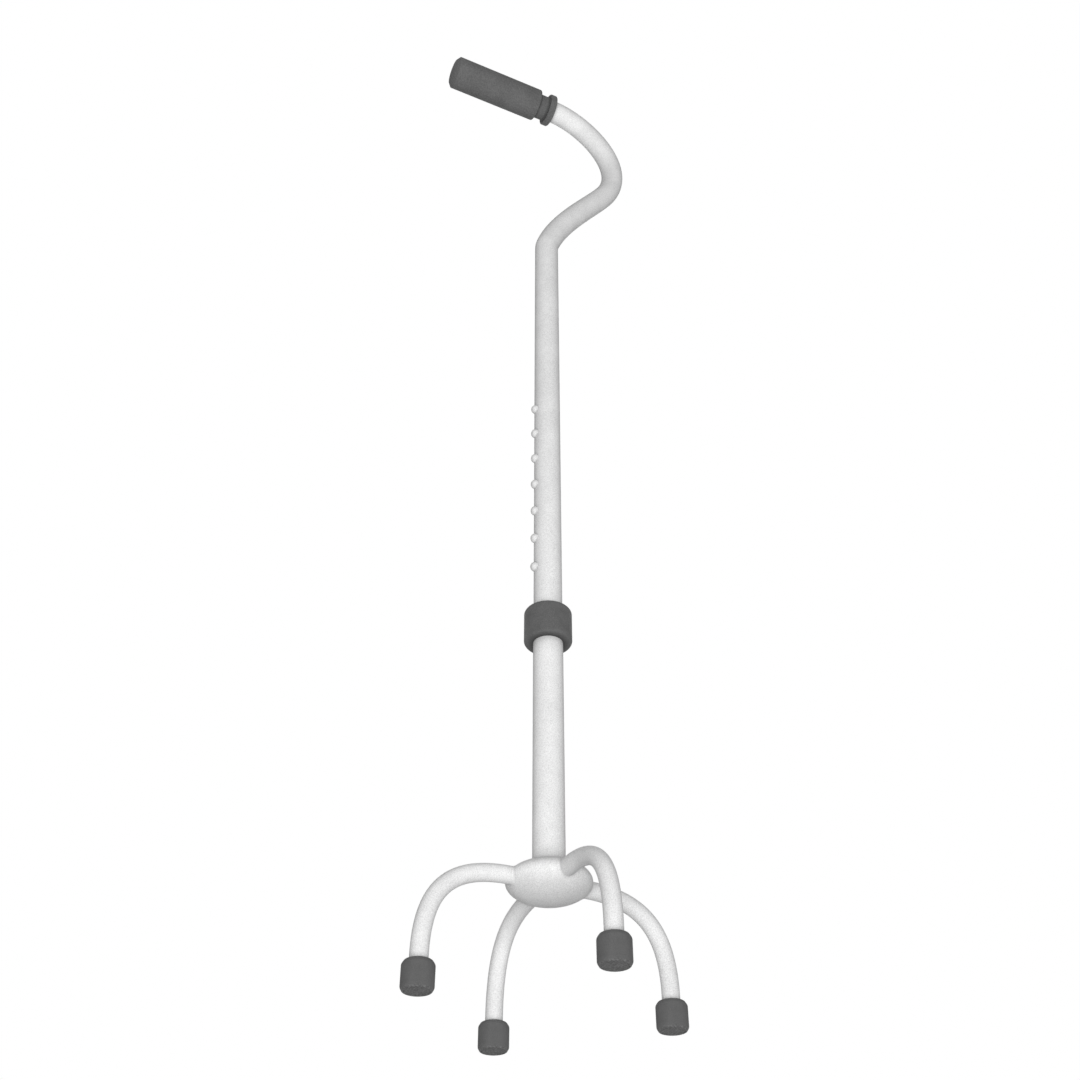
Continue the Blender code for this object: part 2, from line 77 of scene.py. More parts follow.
# Base
HUB_RADIUS = 0.0253
HUB_HALF_HEIGHT = 0.0112
HUB_Z = hub_low.z + HUB_HALF_HEIGHT
LEG_OUTER = 0.0052
LEG_INNER = 0.0037
LEG_REACH = (foot_low.x + foot_high.x) / 2
LEG_BEND_START = 0.0238
LEG_BEND_END_Z = 0.01905
LEG_TOP_HANDLE = 0.0369
LEG_FOOT_HANDLE = 0.0382

# Welds round the post and the legs, each as wide as it is high
POST_WELD = 0.0013
POST_WELD_ROOT = 0.0010  # how deep a weld's root goes into the hub
LEG_WELD = 0.0012
LEG_WELD_ROOT = 0.0012
WELD_TUBE_ROOT = 0.0004  # how deep it goes into the tube
WELD_SINK = 0.00002  # keeps a weld's edges just under the skins that they meet

# Feet
FOOT_RADIUS = (foot_high.x - foot_low.x) / 2
FOOT_HEIGHT = foot_high.z
FOOT_TOP_BEVEL = (0.0015, 0.0023)  # radial, axial
FOOT_BOTTOM_BEVEL = (0.0011, 0.0019)
FOOT_ROUNDING = 0.0007
FOOT_BORE_DEPTH = 0.0100
SOLE_LAND = 0.0010  # plain rim round the tread
TREAD_RADIUS = FOOT_RADIUS - FOOT_BOTTOM_BEVEL[0] - SOLE_LAND
TREAD_DEPTH = 0.00035
TREAD_GRAIN = 0.0011
TREAD_SWING = 0.9  # how much of the depth the pebbles use
TREAD_SLICE = 4.5  # where the noise of the pebbles is cut
TREAD_SHIFT = 0.05  # from one foot's noise to the next one's

# Neck
KINK_Z = 0.6332
KINK_ANGLE = math.radians(16.0)
KINK_BEND_RADIUS = 0.020
NECK_LOWER_HANDLE = 0.0394
NECK_MIDDLE = (0.0584, 0.7352)
NECK_MIDDLE_ANGLE = math.radians(28.1)  # from vertical
NECK_MIDDLE_HANDLES = (0.0232, 0.0557)
NECK_TOP_HANDLE = 0.0370

# Grip
GRIP_RADIUS = grip_high.y
GRIP_Z = (grip_low.z + grip_high.z) / 2
GRIP_START_X = grip_high.x
GRIP_LENGTH = grip_high.x - grip_low.x
GRIP_BORE_DEPTH = 0.0100
GRIP_RING_WIDTH = 0.0060
GRIP_GROOVE_WIDTH = 0.0095
GRIP_GROOVE_RADIUS = 0.0108
GRIP_EDGE = 0.0007
GRIP_ROUNDING = 0.0005
GRIP_END_BEVEL = (0.0035, 0.0028)  # radial, axial

# Soft caps over the setting holes
CAP_HEIGHTS = [(low.z + high.z) / 2 for low, high in cap_boxes]
CAP_RADIUS = cap_high.y
CAP_SINK = CAP_RADIUS - (-TUBE_OUTER - cap_low.x)  # depth of a dome's centre in the tube
CAP_ROOT = 0.0012  # how far a dome's skirt sinks into the tube
CAP_CAVITY = 0.00225
HOLE_HALF_HEIGHT = 0.0021
HOLE_REACH = 3  # sides of the tube from a hole's middle to its edge

# Spring behind the snap button
SPRING_THICKNESS = 0.0006
SPRING_ARM = 0.0045  # straight stretch above and below the button's axis
SPRING_DEPTH = 0.0290  # from the button's axis down to the hairpin's bend

# Collar
COLLAR_RADIUS = collar_high.x
COLLAR_BOTTOM = collar_low.z
COLLAR_TOP = collar_high.z
COLLAR_BEVEL = (0.0010, 0.0015)  # radial, axial
COLLAR_ROUNDING = 0.0007
COLLAR_PLAY = 0.00005
COLLAR_BORE = LOWER_OUTER + COLLAR_PLAY
COLLAR_NECK = TUBE_OUTER + COLLAR_PLAY
COLLAR_SEAT_Z = 0.2463
COLLAR_LIP_Z = 0.2589
COLLET_POCKET_RADIUS = 0.0125

# Sides and steps of the fine meshes
HUB_SIDES = 144
ROUND_SIDES = 120  # of the grip and the collar
FOOT_SIDES = 96
TUBE_SIDES = 72
LEG_SIDES = 48
CAP_SIDES = 40
HUB_STEPS = 64
CAP_STEPS = 14
CORNER_STEPS = 5
LIP_STEPS = 3
WELD_STEPS = 6
TREAD_STEPS = 22
LEG_STEPS = 56
SHAFT_STEPS = 24
HANDLE_STEPS = 40
KINK_STEPS = 10
NECK_STEPS = (40, 80)  # below and above its middle
SPRING_STEPS = 32
SHARP_ANGLE = math.radians(40.0)
MOST_ROUNDED = 0.45  # share of a side or a wall that a rounding takes at most
SAME_POINT = 1e-7
NO_LENGTH = 1e-8
TOLERANCE = 1e-6

# Useful ranges of what the textures give, and how far painted shade reaches from a corner
NOISE_RANGE = (0.3, 0.7)
CELL_RANGE = (0.0, 0.8)
OPEN_SKY_RANGE = (0.45, 1.0)
CLOUD_SHARE = 0.2  # of a broad pattern, beside a fine one
PATCH_GRAINS = 16  # grains across a cloudy patch of the rubber
CORNER_SHADE_REACH = 0.004
SHAFT_SHADE_REACH = 0.012  # on the lower tube, under the collar
GROOVE_SHADE_REACH = 0.003
SOLE_EDGE = (0.0006, 0.0014)  # heights where a foot's dust ends
COLLAR_SHADE_EDGE = (0.0002, 0.0006)  # heights above the collar's underside
COLLAR_SHADE_RIM = 0.0012  # rim of the collar's underside left without painted shade

# Camera: the photograph looks up from below the floor, from -Y and a little from -X
CAMERA_DISTANCE = 0.7083  # level, to the shaft's axis
CAMERA_HEIGHT = -0.2316
CAMERA_BEARING = math.radians(64.57)  # from the camera to the shaft, from +X
CAMERA_TURN = math.radians(0.428)
CAMERA_PITCH = math.radians(38.02)
CAMERA_ROLL = math.radians(0.036)
CAMERA_CLIP = 0.01
FIELD_OF_VIEW = math.radians(45.0)

# Floor
FLOOR_SIZE = 4.0
FLOOR_CELLS = 8
FLOOR_DROP = 0.0002  # keeps the soles off the floor's own face
FLOOR_GREY = 0.94
FLOOR_FADE = (0.45, 1.10)  # distances from the shaft where the floor fades out
FLOOR_GLOW = 0.42  # what the camera sees of the floor beside its light, so that it looks pale

# Light: a broad soft lamp round the lens, which lets rounded sides fall off into shade, a
# small one whose light fades with distance, weak suns, a lamp behind the cane for the other
# views and an even world
LENS_LAMPS = (  # name, falloff, diameter, power in watts
    ("lens_wide", "Constant", 0.8, 6.97),
    ("lens_near", "Linear", 0.2, 1.90),
)
LENS_LAMP_GAP = 0.02  # behind the lens
SUNS = (  # name, bearing and elevation in degrees, strength
    ("sun_right", 284.6, -30, 0.21),
    ("sun_above", 244.6, 30, 0.17),
)
SUN_ANGLE = math.radians(15.0)
SUN_DISTANCE = 2.0
REAR_LAMP_PLACE = (64.6, 38, 2.0)  # bearing and elevation in degrees, distance
REAR_LAMP_SIZE = 0.6
REAR_LAMP_POWER = 26.0
LAMP_AIM_Z = 0.42
WORLD_LIGHT = 0.23
WHITE = 1.0


def new_object(name, data):
    thing = bpy.data.objects.new(name, data)
    bpy.context.scene.collection.objects.link(thing)
    return thing


def finished(name, bm, material):
    """A piece from a bmesh, shaded smooth but for its sharp edges."""
    bmesh.ops.remove_doubles(bm, verts=bm.verts, dist=SAME_POINT)
    bmesh.ops.recalc_face_normals(bm, faces=bm.faces)
    mesh = bpy.data.meshes.new(name)
    bm.to_mesh(mesh)
    bm.free()
    mesh.shade_smooth()
    mesh.set_sharp_from_angle(angle=SHARP_ANGLE)
    mesh.materials.append(material)
    return new_object(name, mesh)


def placed(piece, body, slot, *nodes):
    """Give a piece its body, and hide the CAD nodes that it stands for. The slot is not used."""
    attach(piece, body)
    if nodes:
        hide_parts(*nodes)


def curved(start, corner, end, steps):
    """Points along a curve from start to end that bends towards a corner."""
    points = []
    for step in range(steps + 1):
        t = step / steps
        points.append((1 - t) ** 2 * start + 2 * t * (1 - t) * corner + t * t * end)
    return points


def bezier(start, start_handle, end_handle, end, steps):
    """Points along a cubic Bezier bend, without its first point."""
    points = []
    for step in range(1, steps + 1):
        t = step / steps
        points.append(
            (1 - t) ** 3 * start
            + 3 * (1 - t) ** 2 * t * start_handle
            + 3 * (1 - t) * t * t * end_handle
            + t**3 * end
        )
    return points


def rounded(profile, radius):
    """A profile with its corners rounded, each by no more than its shorter side allows."""
    points = [Vector(point) for point in profile]
    out = points[:1]
    for before, corner, after in zip(points, points[1:], points[2:]):
        back = before - corner
        ahead = after - corner
        reach = min(radius, MOST_ROUNDED * back.length, MOST_ROUNDED * ahead.length)
        start = corner + back.normalized() * reach
        end = corner + ahead.normalized() * reach
        out += curved(start, corner, end, CORNER_STEPS)
    return out + points[-1:]


def bridge(bm, here, there, closed=True):
    """Join two rows of vertices with faces, all the way round if they are closed rings."""
    for low in range(len(here) if closed else len(here) - 1):
        high = (low + 1) % len(here)
        bm.faces.new((here[low], here[high], there[high], there[low]))


def lathe(name, profile, sides, material, closed=False):
    """Turn a profile of (radius, height) points round Z."""
    bm = bmesh.new()
    columns = []
    for side in range(sides):
        turn = 2 * math.pi * side / sides
        column = []
        for radius, height in profile:
            spot = (radius * math.cos(turn), radius * math.sin(turn), height)
            column.append(bm.verts.new(spot))
        columns.append(column)
    for here, there in zip(columns, columns[1:] + columns[:1]):
        bridge(bm, here, there, closed)
    bmesh.ops.remove_doubles(bm, verts=bm.verts, dist=SAME_POINT)
    bmesh.ops.dissolve_degenerate(bm, edges=bm.edges, dist=NO_LENGTH)
    return finished(name, bm, material)


def cut_hole(bm, skin, bore):
    """Open a hole in a tube's rear wall between two rings of its skin and of its bore."""
    for side in range(-HOLE_REACH, HOLE_REACH):
        other = side + 1
        for low, high in (skin, bore):
            face = bm.faces.get((low[side], low[other], high[other], high[side]))
            bm.faces.remove(face)
        for outer, inner in zip(skin, bore):
            bm.faces.new((outer[side], outer[other], inner[other], inner[side]))
    for side in (-HOLE_REACH, HOLE_REACH):
        bm.faces.new((skin[0][side], skin[1][side], bore[1][side], bore[0][side]))


def directions(path):
    """The way along an (x, z) path at each of its points."""
    ways = []
    for index in range(len(path)):
        back = path[index] - path[index - 1] if index else path[1] - path[0]
        ahead = path[index + 1] - path[index] if index + 1 < len(path) else back
        ways.append((back.normalized() + ahead.normalized()).normalized())
    return ways


def pipe(name, path, outer, inner, sides, material, holes=()):
    """A round tube along (x, z) points in the XZ plane, with rounded lips at both ends.

    Holes are heights where two points of the path are a hole's lower and upper edges.
    """
    bm = bmesh.new()
    rings = []

    def add_ring(centre, along, radius):
        across = Vector((-along.y, along.x))
        ring = []
        for side in range(sides):
            turn = 2 * math.pi * side / sides
            spot = centre + across * radius * math.cos(turn)
            ring.append(bm.verts.new((spot.x, radius * math.sin(turn), spot.y)))
        rings.append(ring)
        return ring

    ways = directions(path)
    lip = min(TUBE_LIP, MOST_ROUNDED * (outer - inner))
    lip_turns = [math.pi / 2 * step / LIP_STEPS for step in range(LIP_STEPS + 1)]
    for turn in lip_turns:
        spot = path[0] + ways[0] * lip * (1 - math.cos(turn))
        add_ring(spot, ways[0], outer - lip + lip * math.sin(turn))
    skins = {}
    for index in range(1, len(path) - 1):
        skins[index] = add_ring(path[index], ways[index], outer)
    for turn in lip_turns:
        spot = path[-1] - ways[-1] * lip * (1 - math.sin(turn))
        add_ring(spot, ways[-1], outer - lip + lip * math.cos(turn))
    bores = {}
    for index in reversed(range(len(path))):
        bores[index] = add_ring(path[index], ways[index], inner)
    for here, there in zip(rings, rings[1:] + rings[:1]):
        bridge(bm, here, there)
    for low in range(1, len(path) - 2):
        high = low + 1
        middle = (path[low].y + path[high].y) / 2
        if any(abs(middle - hole) < TOLERANCE for hole in holes):
            cut_hole(bm, (skins[low], skins[high]), (bores[low], bores[high]))
    return finished(name, bm, material)


def straight(low, high, steps, holes=()):
    """Evenly spaced (x, z) points up the shaft's axis, but for two at each hole's edges."""
    heights = [low + (high - low) * step / steps for step in range(steps + 1)]
    for hole in holes:
        heights = [height for height in heights if abs(height - hole) > 2 * HOLE_HALF_HEIGHT]
        heights += [hole - HOLE_HALF_HEIGHT, hole + HOLE_HALF_HEIGHT]
    return [Vector((0, height)) for height in sorted(heights)]


class Nodes:
    """Nodes of a material, a lamp or the world, with short calls to add and join them."""

    def __init__(self, owner):
        owner.use_nodes = True
        self.tree = owner.node_tree

    def add(self, kind, **settings):
        node = self.tree.nodes.new(kind)
        for key, value in settings.items():
            setattr(node, key, value)
        return node

    def join(self, output, socket):
        self.tree.links.new(output, socket)

    def emptied(self, output):
        """Clear the tree for a new output, and give the socket that takes its surface."""
        self.tree.nodes.clear()
        return self.add(output).inputs["Surface"]

    def object_place(self):
        return self.add("ShaderNodeTexCoord").outputs["Object"]

    def combined(self, first, second, operation="ADD", **settings):
        node = self.add("ShaderNodeMath", operation=operation, **settings)
        self.join(first, node.inputs[0])
        self.join(second, node.inputs[1])
        return node.outputs["Value"]

    def length(self, vector):
        node = self.add("ShaderNodeVectorMath", operation="LENGTH")
        self.join(vector, node.inputs[0])
        return node.outputs["Value"]

    def spread(self, value, useful, wanted, **settings):
        """Map a value's useful range to the wanted one."""
        node = self.add("ShaderNodeMapRange", **settings)
        node.inputs["From Min"].default_value, node.inputs["From Max"].default_value = useful
        node.inputs["To Min"].default_value, node.inputs["To Max"].default_value = wanted
        self.join(value, node.inputs["Value"])
        return node.outputs["Result"]

    def either(self, share, first, second):
        """One shader where the share is 0 and another where it is 1."""
        node = self.add("ShaderNodeMixShader")
        self.join(share, node.inputs["Fac"])
        self.join(first, node.inputs[1])
        self.join(second, node.inputs[2])
        return node.outputs["Shader"]


class Finish(Nodes):
    """A material of the cane, built on its one shader."""

    def __init__(self, name):
        self.material = bpy.data.materials.new(name)
        super().__init__(self.material)
        self.shader = self.tree.nodes["Principled BSDF"]
        self.place = self.object_place()

    def set(self, socket, value):
        self.shader.inputs[socket].default_value = value

    def colour(self, value):
        self.join(value, self.shader.inputs["Base Color"])

    def roughness(self, value, wanted):
        """Roughness that follows a noise."""
        self.join(self.spread(value, NOISE_RANGE, wanted), self.shader.inputs["Roughness"])

    def bump(self, height, depth, strength):
        node = self.add("ShaderNodeBump")
        node.inputs["Distance"].default_value = depth
        node.inputs["Strength"].default_value = strength
        self.join(height, node.inputs["Height"])
        self.join(node.outputs["Normal"], self.shader.inputs["Normal"])

    def height(self):
        """Height in the piece's own frame."""
        parts = self.add("ShaderNodeSeparateXYZ")
        self.join(self.place, parts.inputs["Vector"])
        return parts.outputs["Z"]

    def stretched(self, scale):
        """The object's coordinates, scaled along each axis."""
        mapping = self.add("ShaderNodeMapping")
        mapping.inputs["Scale"].default_value = scale
        self.join(self.place, mapping.inputs["Vector"])
        return mapping.outputs["Vector"]

    def noise(self, grain, detail=2.0, roughness=0.5, place=None):
        """Noise whose blobs are about one grain across, in metres."""
        node = self.add("ShaderNodeTexNoise")
        node.inputs["Scale"].default_value = 1.0 / grain
        node.inputs["Detail"].default_value = detail
        node.inputs["Roughness"].default_value = roughness
        self.join(place or self.place, node.inputs["Vector"])
        return node.outputs["Fac"]

    def cells(self, grain):
        """Distance to the nearest of scattered points, one for each grain."""
        node = self.add("ShaderNodeTexVoronoi")
        node.inputs["Scale"].default_value = 1.0 / grain
        self.join(self.place, node.inputs["Vector"])
        return node.outputs["Distance"]

    def blended(self, fine, fine_range, cloud):
        """A fine pattern with a little of a broad noise."""
        return self.combined(
            self.spread(fine, fine_range, (0, 1 - CLOUD_SHARE)),
            self.spread(cloud, NOISE_RANGE, (0, CLOUD_SHARE)),
        )

    def mixed(self, share, first, second):
        """A colour between two, by a share from 0 to 1. Each is numbers or another node's."""
        node = self.add("ShaderNodeMix", data_type="RGBA")
        for socket, colour in ((node.inputs[6], first), (node.inputs[7], second)):
            if isinstance(colour, tuple):
                socket.default_value = (*colour, 1)
            else:
                self.join(colour, socket)
        self.join(share, node.inputs[0])
        return node.outputs[2]

    def corner_shaded(self, colour, reach, most, shade_colour, own=False):
        """The colour with painted shade, darkened towards the corners where this surface meets
        another.

        With own set, only the piece's own corners count.
        """
        # Painted shade: ambient occlusion darkens the colour where other surfaces are close by.
        open_sky = self.add("ShaderNodeAmbientOcclusion", samples=8, only_local=own)
        open_sky.inputs["Distance"].default_value = reach
        shut_in = self.spread(open_sky.outputs["AO"], OPEN_SKY_RANGE, (most, 0))
        return self.mixed(shut_in, colour, shade_colour)


def grey(level):
    return (level, level, level)


def powder_coat(name, level, shade_reach=CORNER_SHADE_REACH):
    """Matt pale powder coat: fine speckle, a faint cloud, an orange-peel skin and painted shade
    in the corners where other pieces meet it.
    """
    coat = Finish(name)
    speckle = coat.noise(0.00065, detail=2.5, roughness=0.6)
    cloud = coat.noise(0.0140)
    blend = coat.blended(speckle, NOISE_RANGE, cloud)
    colour = coat.mixed(blend, grey(level - 0.17), grey(level + 0.17))
    # Painted shade in the corners, where the coat meets other pieces.
    coat.colour(coat.corner_shaded(colour, shade_reach, most=0.60, shade_colour=grey(level * 0.40)))
    coat.roughness(speckle, (0.80, 0.66))
    peel = coat.noise(0.0016, detail=1.0)
    skin = coat.combined(peel, coat.spread(speckle, (0, 1), (0, 0.35)))
    coat.bump(skin, depth=0.00006, strength=0.6)
    coat.set("Specular IOR Level", 0.04)
    return coat.material


def dusted(rubber, colour, level):
    """The colour of a foot, with paler pebbles and darker pits on its sole."""
    sole = rubber.spread(rubber.height(), SOLE_EDGE, (1, 0))
    pebbles = rubber.noise(TREAD_GRAIN, detail=3.0, roughness=0.6)
    worn = rubber.spread(pebbles, (0.34, 0.62), (0, 1))
    dust = rubber.mixed(worn, grey(level * 0.69), grey(level * 1.50))
    return rubber.mixed(sole, colour, dust)


def moulded_rubber(name, level, grain, depth, contrast, dusty_sole=False):
    """Dull dark rubber with a fine moulded grain, and dust on its sole or painted shade in the
    corners of its groove.
    """
    rubber = Finish(name)
    fine = rubber.noise(grain, detail=3.0, roughness=0.65)
    patch = rubber.noise(PATCH_GRAINS * grain)
    blend = rubber.blended(fine, (0.28, 0.72), patch)
    colour = rubber.mixed(blend, grey(level * (1 - contrast)), grey(level * (1 + contrast)))
    if dusty_sole:
        rubber.colour(dusted(rubber, colour, level))
    else:
        # Painted shade in the corners of the grip's groove.
        shade_colour = grey(level * 0.15)
        rubber.colour(rubber.corner_shaded(colour, GROOVE_SHADE_REACH, most=0.90, shade_colour=shade_colour, own=True))
    rubber.roughness(patch, (0.92, 0.80))
    rubber.bump(fine, depth, strength=0.7)
    rubber.set("Specular IOR Level", 0.5)
    return rubber.material


def moulded_plastic(name, level):
    """Dark plastic with a spark-eroded texture, and painted shade on its underside towards the
    tube.
    """
    plastic = Finish(name)
    pits = plastic.cells(0.00055)
    patch = plastic.noise(0.0050)
    blend = plastic.blended(pits, CELL_RANGE, patch)
    colour = plastic.mixed(blend, grey(level * 0.70), grey(level * 1.30))
    # Painted shade on the collar's underside, darkest at the bore where the tube enters.
    reach = plastic.length(plastic.stretched((1, 1, 0)))
    inward = plastic.spread(reach, (COLLAR_BORE, COLLAR_RADIUS - COLLAR_SHADE_RIM), (1, 0))
    edge = [COLLAR_BOTTOM + height for height in COLLAR_SHADE_EDGE]
    under = plastic.spread(plastic.height(), edge, (1, 0))
    collar_shade = plastic.combined(inward, under, "MULTIPLY")
    plastic.colour(plastic.mixed(collar_shade, colour, grey(level * 0.35)))
    plastic.roughness(patch, (0.72, 0.60))
    plastic.bump(pits, depth=0.00004, strength=0.5)
    plastic.set("Specular IOR Level", 0.4)
    return plastic.material


def drawn_aluminium(name):
    """Drawn tube: fine lines along its length, with a few deeper scores."""
    metal = Finish(name)
    lines = metal.noise(0.00025, detail=3.0, roughness=0.6, place=metal.stretched((1, 1, 0.006)))
    scores = metal.noise(0.00120, place=metal.stretched((1, 1, 0.02)))
    blend = metal.spread(scores, NOISE_RANGE, (0, 1))
    metal.colour(metal.mixed(blend, (0.48, 0.49, 0.50), (0.62, 0.63, 0.64)))
    metal.roughness(lines, (0.42, 0.26))
    metal.bump(lines, depth=0.00002, strength=0.6)
    metal.set("Metallic", 1.0)
    return metal.material


def plated_steel(name):
    """Bright zinc plate with a faint spangle."""
    metal = Finish(name)
    spangle = metal.spread(metal.cells(0.0012), CELL_RANGE, (0, 1))
    fine = metal.noise(0.0003)
    metal.colour(metal.mixed(spangle, (0.52, 0.53, 0.54), (0.66, 0.66, 0.65)))
    metal.roughness(fine, (0.45, 0.28))
    metal.bump(fine, depth=0.00001, strength=0.5)
    metal.set("Metallic", 1.0)
    return metal.material


def natural_nylon(name):
    """Off-white moulded nylon, slightly clouded."""
    nylon = Finish(name)
    cloud = nylon.spread(nylon.noise(0.0030, detail=3.0), NOISE_RANGE, (0, 1))
    fine = nylon.noise(0.0004)
    nylon.colour(nylon.mixed(cloud, (0.66, 0.64, 0.58), (0.75, 0.74, 0.69)))
    nylon.roughness(fine, (0.55, 0.42))
    nylon.bump(fine, depth=0.00002, strength=0.4)
    return nylon.material


PAINT = powder_coat("pale_powder_coat", 0.80)
# The lower tube's coat, with its painted shade reaching further below the collar.
SHAFT_PAINT = powder_coat("pale_shaft_coat", 0.80, SHAFT_SHADE_REACH)
CAP_PAINT = powder_coat("pale_soft_cap", 0.72)
RUBBER = moulded_rubber("grip_rubber", 0.119, grain=0.00120, depth=0.00008, contrast=0.36)
FOOT_RUBBER = moulded_rubber(
    "foot_rubber", 0.108, grain=0.00050, depth=0.00004, contrast=0.20, dusty_sole=True
)
PLASTIC = moulded_plastic("collar_plastic", 0.093)
ALUMINIUM = drawn_aluminium("drawn_aluminium")
STEEL = plated_steel("plated_steel")
NYLON = natural_nylon("natural_nylon")


def hub_top(radius):
    """Height of the hub's upper skin at a distance from the shaft's axis."""
    return HUB_Z + HUB_HALF_HEIGHT * math.sqrt(1 - (radius / HUB_RADIUS) ** 2)


def hub_side(across, up):
    """How far out along X the hub's skin is, at a place across and above its middle."""
    inside = 1 - (across / HUB_RADIUS) ** 2 - (up / HUB_HALF_HEIGHT) ** 2
    return HUB_RADIUS * math.sqrt(max(inside, 0))


def make_weld(name, corners, turn=0):
    """A ring of weld from (tube point, corner, hub point, root) sets, one for each side."""
    bm = bmesh.new()
    loops = []
    for tube_end, corner, hub_end, root in corners:
        outline = curved(tube_end, corner, hub_end, WELD_STEPS) + [root]
        loops.append([bm.verts.new(spot) for spot in outline])
    for here, there in zip(loops, loops[1:] + loops[:1]):
        bridge(bm, here, there)
    weld = finished(name, bm, PAINT)
    weld.rotation_euler.z = turn
    placed(weld, "base", "pale_paint")


def make_post_weld():
    """Weld where the lower tube enters the hub's top."""
    wide = LOWER_OUTER + POST_WELD
    near = hub_top(LOWER_OUTER)
    far = hub_top(wide)
    corners = []
    for side in range(TUBE_SIDES):
        turn = 2 * math.pi * side / TUBE_SIDES
        way = Vector((math.cos(turn), math.sin(turn), 0))
        corners.append(
            (
                way * (LOWER_OUTER - WELD_SINK) + Vector((0, 0, near + POST_WELD)),
                way * LOWER_OUTER + Vector((0, 0, near)),
                way * wide + Vector((0, 0, far - WELD_SINK)),
                way * (LOWER_OUTER - WELD_TUBE_ROOT) + Vector((0, 0, far - POST_WELD_ROOT)),
            )
        )
    make_weld("post_weld", corners)


def make_leg_weld(index, name):
    """Weld where a leg leaves the hub's side."""
    wide = LEG_OUTER + LEG_WELD
    middle = Vector((0, 0, HUB_Z))
    corners = []
    for side in range(LEG_SIDES):
        turn = 2 * math.pi * side / LEG_SIDES
        across, up = math.cos(turn), math.sin(turn)
        way = Vector((0, across, up))
        near = hub_side(LEG_OUTER * across, LEG_OUTER * up)
        far = hub_side(wide * across, wide * up)
        corners.append(
            (
                middle + way * (LEG_OUTER - WELD_SINK) + Vector((near + LEG_WELD, 0, 0)),
                middle + way * LEG_OUTER + Vector((near, 0, 0)),
                middle + way * wide + Vector((far - WELD_SINK, 0, 0)),
                middle + way * (LEG_OUTER - WELD_TUBE_ROOT) + Vector((far - LEG_WELD_ROOT, 0, 0)),
            )
        )
    make_weld(f"leg_weld_{name}", corners, math.pi / 2 * index)


def make_hub():
    """The ellipsoid casting, and the welds where the post and the legs enter it."""
    profile = []
    for step in range(HUB_STEPS + 1):
        turn = math.pi * step / HUB_STEPS
        radius = 0 if step in (0, HUB_STEPS) else HUB_RADIUS * math.sin(turn)
        profile.append((radius, HUB_Z - HUB_HALF_HEIGHT * math.cos(turn)))
    hub = lathe("hub_casting", profile, HUB_SIDES, PAINT)
    placed(hub, "base", "pale_paint", "hub")
    make_post_weld()
    for index, name in enumerate(LEG_NAMES):
        make_leg_weld(index, name)


def make_legs():
    """Four alike tubes, level at the hub and upright in the feet."""
    bend_start = Vector((LEG_BEND_START, HUB_Z))
    bend_end = Vector((LEG_REACH, LEG_BEND_END_Z))
    path = [Vector((leg_low.x, HUB_Z)), bend_start]
    path += bezier(
        bend_start,
        bend_start + Vector((LEG_TOP_HANDLE, 0)),
        bend_end + Vector((0, LEG_FOOT_HANDLE)),
        bend_end,
        LEG_STEPS,
    )
    path.append(Vector((LEG_REACH, leg_low.z)))
    for index, name in enumerate(LEG_NAMES):
        leg = pipe(f"leg_tube_{name}", path, LEG_OUTER, LEG_INNER, LEG_SIDES, PAINT)
        leg.rotation_euler.z = math.pi / 2 * index
        placed(leg, "base", "pale_paint", f"leg_{name}")


def tread_height(x, y):
    """Height of the pebbled sole above the floor."""
    spot = Vector((x / TREAD_GRAIN, y / TREAD_GRAIN, TREAD_SLICE))
    return TREAD_DEPTH * min(max(0.5 + TREAD_SWING * noise.noise(spot), 0), 1)


def make_feet():
    """Rubber ferrules with bevelled rims and a pebbled tread inside a plain rim."""
    top_in, top_down = FOOT_TOP_BEVEL
    bottom_in, bottom_up = FOOT_BOTTOM_BEVEL
    outline = rounded(
        [
            (TREAD_RADIUS, TREAD_DEPTH),
            (TREAD_RADIUS, 0),
            (FOOT_RADIUS - bottom_in, 0),
            (FOOT_RADIUS, bottom_up),
            (FOOT_RADIUS, FOOT_HEIGHT - top_down),
            (FOOT_RADIUS - top_in, FOOT_HEIGHT),
            (LEG_OUTER, FOOT_HEIGHT),
            (LEG_OUTER, FOOT_HEIGHT - FOOT_BORE_DEPTH),
            (0, FOOT_HEIGHT - FOOT_BORE_DEPTH),
        ],
        FOOT_ROUNDING,
    )
    tread = [(TREAD_RADIUS * step / TREAD_STEPS, TREAD_DEPTH) for step in range(TREAD_STEPS)]
    for index, name in enumerate(LEG_NAMES):
        foot = lathe(f"rubber_foot_{name}", tread + outline, FOOT_SIDES, FOOT_RUBBER)
        for vertex in foot.data.vertices:
            x, y, z = vertex.co
            if math.hypot(x, y) < TREAD_RADIUS - TOLERANCE and z < TREAD_DEPTH + TOLERANCE:
                vertex.co.z = tread_height(x + TREAD_SHIFT * index, y)
        turn = math.pi / 2 * index
        foot.location = (LEG_REACH * math.cos(turn), LEG_REACH * math.sin(turn), 0)
        placed(foot, "base", "dark_rubber", f"foot_{name}")


def make_lower_shaft():
    """The painted lower tube and the bare inner tube, which shows when the cane is raised."""
    path = straight(lower_low.z, lower_high.z, SHAFT_STEPS)
    lower = pipe("painted_lower_tube", path, LOWER_OUTER, LOWER_INNER, TUBE_SIDES, SHAFT_PAINT)
    placed(lower, "base", "pale_paint", "lower_tube")
    holes = CAP_HEIGHTS[:1]
    path = straight(inner_low.z, inner_high.z, SHAFT_STEPS, holes)
    inner = pipe("bare_inner_tube", path, INNER_OUTER, INNER_INNER, TUBE_SIDES, ALUMINIUM, holes)
    placed(inner, "base", "bright_aluminium", "inner_tube")


